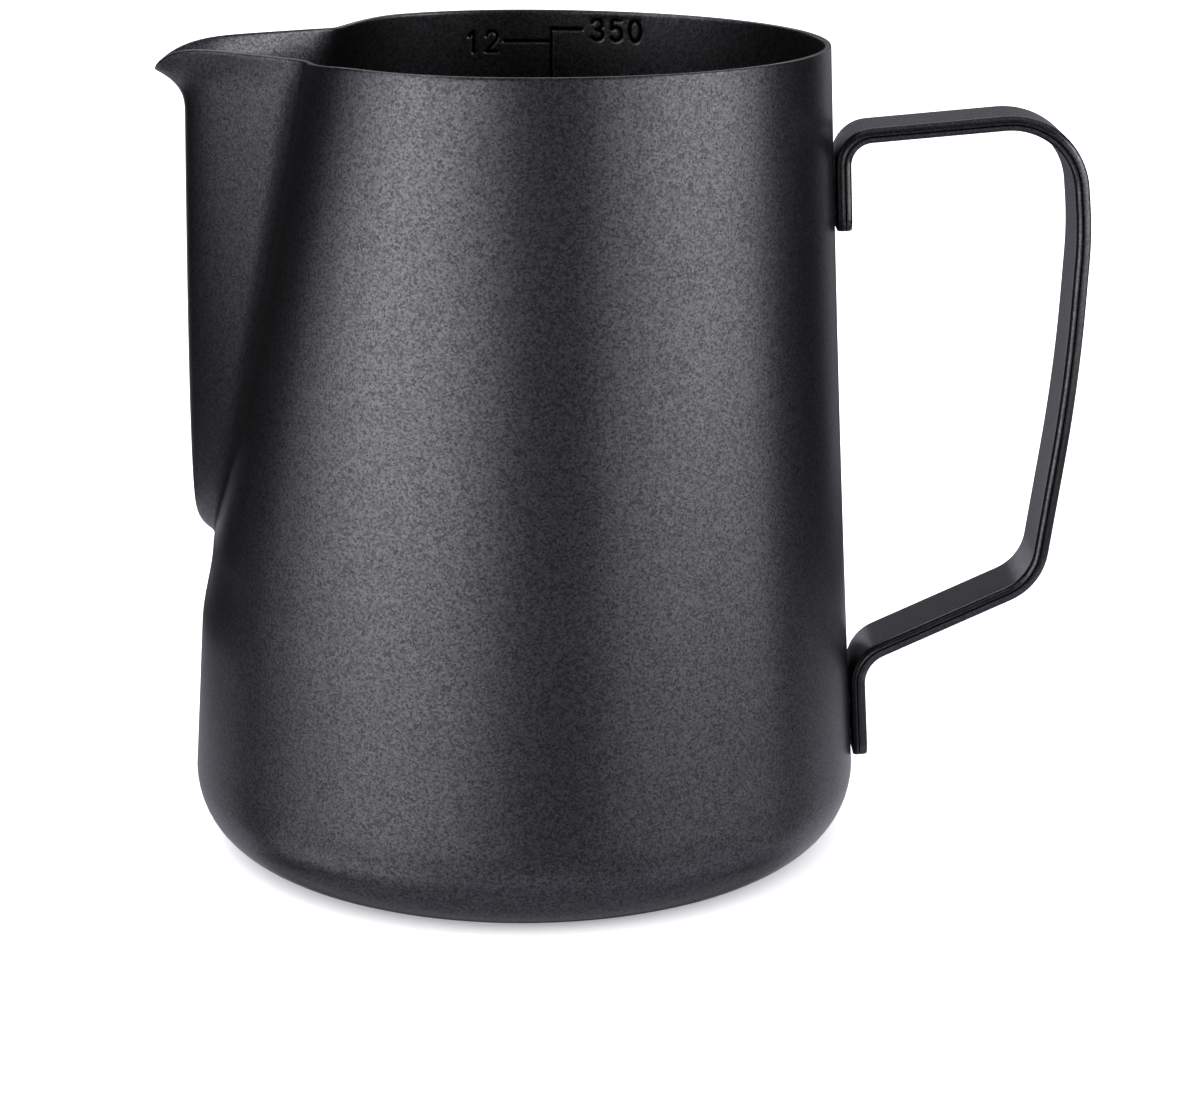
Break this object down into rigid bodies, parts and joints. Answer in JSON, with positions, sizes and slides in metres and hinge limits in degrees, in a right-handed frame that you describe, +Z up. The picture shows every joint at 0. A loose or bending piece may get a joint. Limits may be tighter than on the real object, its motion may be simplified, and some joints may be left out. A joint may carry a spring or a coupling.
{
  "type": "milk frothing pitcher",
  "caption": "Small tapered steel milk frothing pitcher with a pressed V-shaped pouring spout and a bent flat-strap handle, in a matt black coating.",
  "frame": {"origin": "centre of the flat base's underside, on the axis of the cup", "axes": "+Z up along the cup's axis, -X towards the pouring spout, +X towards the handle, XZ the plane of symmetry"},
  "size_m": [0.1048, 0.077, 0.0918],
  "materials": {
    "body_coating": "matt black-charcoal coating with a fine sparkling grain, inside and out",
    "handle_coating": "satin black coating, smoother than the cup's",
    "weld_steel": "bare weld metal, hidden between the strap and the wall"
  },
  "bodies": {
    "root": {"body_shell": "body_coating", "handle_strap": "handle_coating", "upper_weld_1": "weld_steel", "upper_weld_2": "weld_steel", "lower_weld_1": "weld_steel", "lower_weld_2": "weld_steel"}
  },
  "joints": []
}
